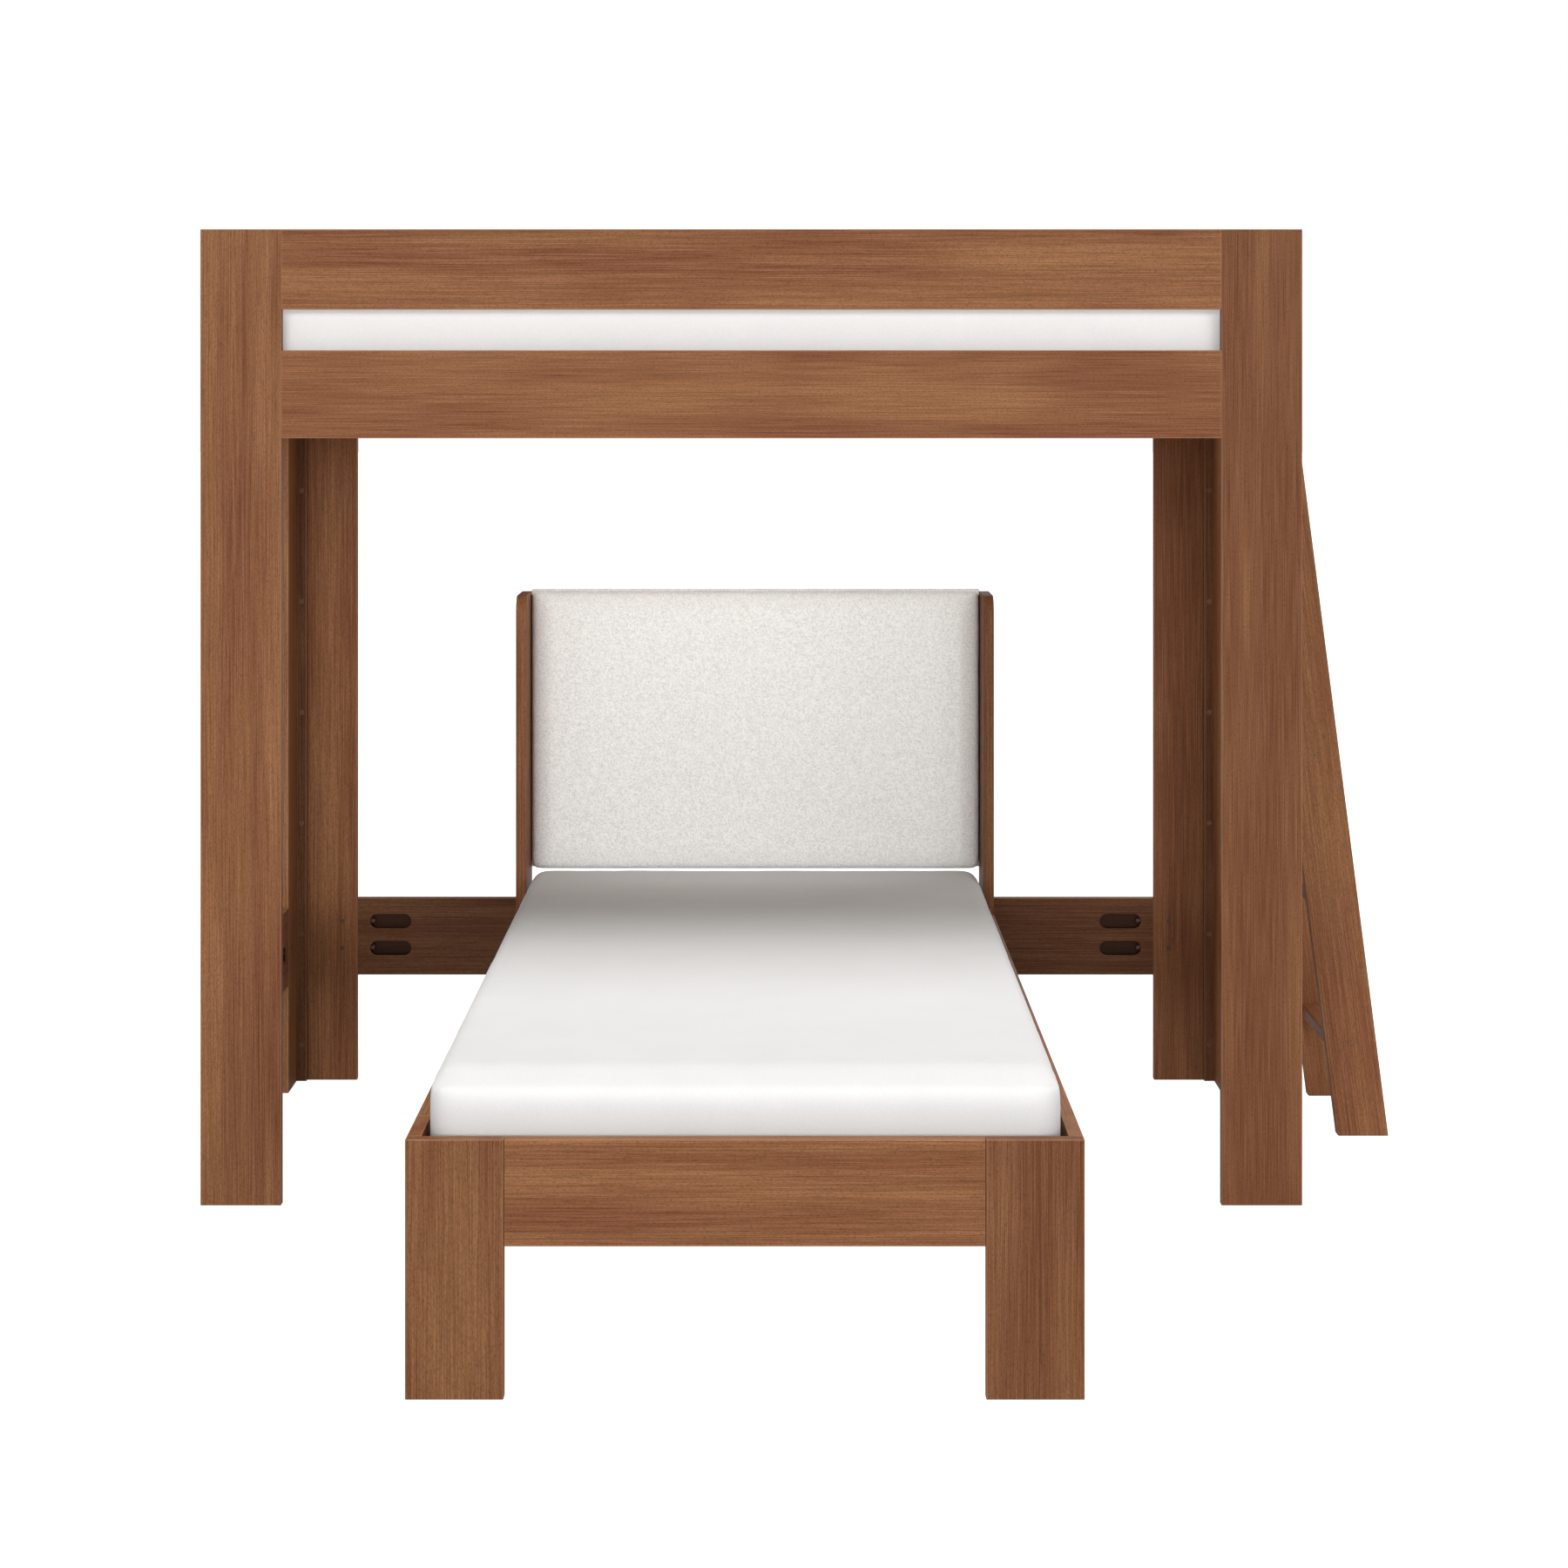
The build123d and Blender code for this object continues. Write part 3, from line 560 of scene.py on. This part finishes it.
def pick(piece, kind, test):
    """In edit mode, select only the vertices, edges or faces of a piece that pass a test."""
    if bpy.context.mode == "OBJECT":
        activate(piece)
        bpy.ops.object.mode_set(mode="EDIT")
    bpy.ops.mesh.select_mode(type=kind)
    bpy.ops.mesh.select_all(action="DESELECT")
    mesh = bmesh.from_edit_mesh(piece.data)
    for element in {"VERT": mesh.verts, "EDGE": mesh.edges, "FACE": mesh.faces}[kind]:
        element.select_set(bool(test(element)))
    mesh.select_flush_mode()
    bmesh.update_edit_mesh(piece.data)


def apply(piece, kind, **settings):
    """Add a modifier to a piece and apply it."""
    modifier = piece.modifiers.new(kind.lower(), kind)
    for name, value in settings.items():
        setattr(modifier, name, value)
    activate(piece)
    bpy.ops.object.modifier_apply(modifier=modifier.name)


def upholstery_block(name, size, shape):
    """A block on the plane z = 0 whose top slopes down to its rim. Its head end, at +Y, can slope less."""
    bpy.ops.object.select_all(action="DESELECT")
    rim = size.z - shape.drop
    bpy.ops.mesh.primitive_cube_add(size=1, location=(0, 0, rim / 2))
    piece = bpy.context.active_object
    piece.name = name
    piece.scale = (size.x, size.y, rim)
    bpy.ops.object.transform_apply(location=True, rotation=True, scale=True)
    pick(piece, "EDGE", lambda edge: abs(edge.verts[0].co.z - edge.verts[1].co.z) > rim / 2)
    bpy.ops.mesh.bevel(offset=shape.corner, segments=corner_segments, affect="EDGES")
    pick(piece, "EDGE", lambda edge: on_outline(edge, 0.0))
    bpy.ops.mesh.bevel(offset=shape.edge / 3, segments=foot_segments, affect="EDGES")
    pick(piece, "FACE", lambda face: face.normal.z > flat_enough)
    first = shape.corner / 2
    bpy.ops.mesh.inset(thickness=first)
    bpy.ops.transform.translate(value=(0, 0, shape.drop))
    left = [(length - 2 * reach) / (length - 2 * first)
            for length, reach in ((size.x, shape.side_reach), (size.y, shape.reach))]
    bpy.ops.transform.resize(value=(*left, 1), center_override=(0, 0, size.z))
    head = size.y / 2 - shape.reach - head_band
    pick(piece, "VERT", lambda vertex: vertex.co.z > size.z - same_height and vertex.co.y > head)
    bpy.ops.transform.translate(value=(0, shape.reach - shape.head_reach, 0))
    pick(piece, "EDGE", lambda edge: on_outline(edge, rim))
    bpy.ops.mesh.bevel(offset=shape.edge, segments=rim_segments, affect="EDGES")
    bpy.ops.object.mode_set(mode="OBJECT")
    return piece


def on_outline(edge, height):
    """True for an edge between an upright face and another one at a height."""
    level = all(abs(vertex.co.z - height) < same_height for vertex in edge.verts)
    flatness = sorted(abs(face.normal.z) for face in edge.link_faces)
    return level and flatness[0] < upright_enough and flatness[-1] > sloped_enough


def inflate(piece, shape):
    """Remesh a piece, let cloth pressure puff it, and hold each point near its start and above its base."""
    apply(piece, "REMESH", mode="VOXEL", voxel_size=shape.voxel)
    start = [vertex.co.copy() for vertex in piece.data.vertices]
    cloth = piece.modifiers.new("puff", "CLOTH")
    cloth.settings.use_pressure = True
    cloth.settings.uniform_pressure_force = puff_pressure
    cloth.settings.effector_weights.gravity = 0
    cloth.settings.quality = puff_quality
    cloth.point_cache.frame_start = 1
    cloth.point_cache.frame_end = puff_frames
    for step in range(1, puff_frames + 1):
        scene.frame_set(step)
    bpy.ops.object.modifier_apply(modifier=cloth.name)
    scene.frame_set(1)
    for vertex, place in zip(piece.data.vertices, start):
        shift = vertex.co - place
        held = Vector(max(-limit, min(limit, value)) for value, limit in zip(shift, shape.cap))
        vertex.co = place + held
        vertex.co.z = max(vertex.co.z, 0.0)
    apply(piece, "SMOOTH", factor=smooth_factor, iterations=smooth_rounds)
    apply(piece, "SUBSURF", levels=1, render_levels=1)
    bpy.ops.object.shade_smooth()


def padded_piece(name, node, body, material, turn, grow, shape):
    """A padded piece in the space of its node. Its puffed side is along +Z before it is turned about X."""
    low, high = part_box(node)
    centre = (low + high) / 2
    room = high - low
    size = Vector((room.x, room.z, room.y)) if turn else room.copy()
    size += Vector(grow)
    if not turn and size.x > size.y:
        size = Vector((size.y, size.x, size.z))
    piece = upholstery_block(name, size, shape)
    inflate(piece, shape)
    if turn:
        piece.rotation_euler = (turn, 0, 0)
        piece.location = (centre.x, high.y, centre.z - cushion_sag)
    else:
        lengthwise = room.x > room.y
        piece.rotation_euler = (0, 0, math.pi / 2 if lengthwise else 0)
        piece.location = (centre.x, centre.y, low.z)
    activate(piece)
    bpy.ops.object.transform_apply(location=True, rotation=True, scale=True)
    dress(piece, material)
    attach(piece, body)
    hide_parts(node)
    return piece


def make_mattresses():
    """Two mattresses of one kind, with a broad sloping rim. The loft one's knit has painted light: it is
    made lighter than the lower one's.
    """
    for node, tone in mattress_painted_light.items():
        knit = ticking(f"{node}_ticking", tone)
        piece = padded_piece(f"{node}_cover", node, f"{node}_body", knit, 0.0,
                             mattress_growth, mattress_shape)


def make_headboard():
    """The headboard's cushion, and its cloth where that is turned round the edges of the backing board."""
    cloth = boucle()
    cushion = padded_piece("headboard_cushion_cover", "headboard_cushion", "lower_bed",
                           cloth, math.pi / 2, cushion_growth, cushion_shape)
    low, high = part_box("headboard_backing")
    front = low.y - wrap_thickness / 2
    back = high.y + wrap_thickness / 2
    strips = []
    for edge, inwards in ((high.z, -1), (low.z, 1)):
        outer = edge - inwards * wrap_thickness / 2
        strips.append(((low.y + high.y) / 2, high.y - low.y + 2 * wrap_thickness, outer, wrap_thickness))
        strips.append((front, wrap_thickness, edge + inwards * wrap_front / 2, wrap_front))
        strips.append((back, wrap_thickness, edge + inwards * wrap_turn / 2, wrap_turn))
    for middle_y, size_y, middle_z, size_z in strips:
        bpy.ops.object.select_all(action="DESELECT")
        bpy.ops.mesh.primitive_cube_add(size=1, location=((low.x + high.x) / 2, middle_y, middle_z))
        bpy.context.active_object.scale = (high.x - low.x - wrap_gap, size_y, size_z)
        bpy.context.active_object.name = "headboard_wrap"
    wraps = [piece for piece in scene.objects if piece.name.startswith("headboard_wrap")]
    bpy.ops.object.select_all(action="DESELECT")
    for piece in wraps:
        piece.select_set(True)
    bpy.context.view_layer.objects.active = wraps[0]
    bpy.ops.object.join()
    wrap = bpy.context.active_object
    wrap.name = "headboard_wrap"
    bpy.ops.object.transform_apply(location=True, rotation=True, scale=True)
    apply(wrap, "BEVEL", width=wrap_thickness / 3, segments=2)
    dress(wrap, cloth)
    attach(wrap, "lower_bed")


def make_camera():
    """A level camera with the photograph's framing."""
    data = bpy.data.cameras.new("camera")
    data.sensor_width = sensor_width
    data.lens = focal_pixels / photo_side * sensor_width
    data.shift_x = (photo_side / 2 - centre_column) / photo_side
    data.shift_y = (horizon_row - photo_side / 2) / photo_side
    camera = bpy.data.objects.new("camera", data)
    camera.location = camera_place
    camera.rotation_euler = (math.pi / 2, 0, 0)
    scene.collection.objects.link(camera)
    scene.camera = camera


def make_floor():
    """A plain pale floor without an edge in sight."""
    bpy.ops.object.select_all(action="DESELECT")
    bpy.ops.mesh.primitive_plane_add(size=floor_size, location=(0, 0, -floor_drop))
    floor = bpy.context.active_object
    floor.name = "floor"
    shader = Shader("pale_floor")
    ray = shader.add("ShaderNodeLightPath")
    glow = shader.span(ray.outputs["Is Camera Ray"], 0.0, 1.0, floor_glow, floor_glow_seen)
    shader.join(glow, shader.surface.inputs["Emission Strength"])
    shader.surface.inputs["Emission Color"].default_value = (1, 1, 1, 1)
    dress(floor, shader.finish(floor_colour, floor_roughness, specular=0.0))


def make_light():
    """A white surround, two low soft lights in front, a broad one above and a weak one behind."""
    world = bpy.data.worlds.new("surround")
    world.use_nodes = True
    tree = world.node_tree
    seen = tree.nodes["Background"]
    seen.inputs["Color"].default_value = (1, 1, 1, 1)
    lit = tree.nodes.new("ShaderNodeBackground")
    lit.inputs["Strength"].default_value = surround_strength
    ray = tree.nodes.new("ShaderNodeLightPath")
    mix = tree.nodes.new("ShaderNodeMixShader")
    tree.links.new(ray.outputs["Is Camera Ray"], mix.inputs["Fac"])
    tree.links.new(lit.outputs["Background"], mix.inputs[1])
    tree.links.new(seen.outputs["Background"], mix.inputs[2])
    tree.links.new(mix.outputs["Shader"], tree.nodes["World Output"].inputs["Surface"])
    scene.world = world
    scene.view_settings.view_transform = "Standard"
    for name, (place, strength, spread) in studio_lights.items():
        data = bpy.data.lights.new(name, "SUN")
        data.energy = strength
        data.angle = spread
        light = bpy.data.objects.new(name, data)
        light.location = place
        light.rotation_euler = (-Vector(place)).to_track_quat("-Z", "Y").to_euler()
        scene.collection.objects.link(light)


make_camera()
make_floor()
make_light()
dress_wood()
dress_metal()
make_mattresses()
make_headboard()
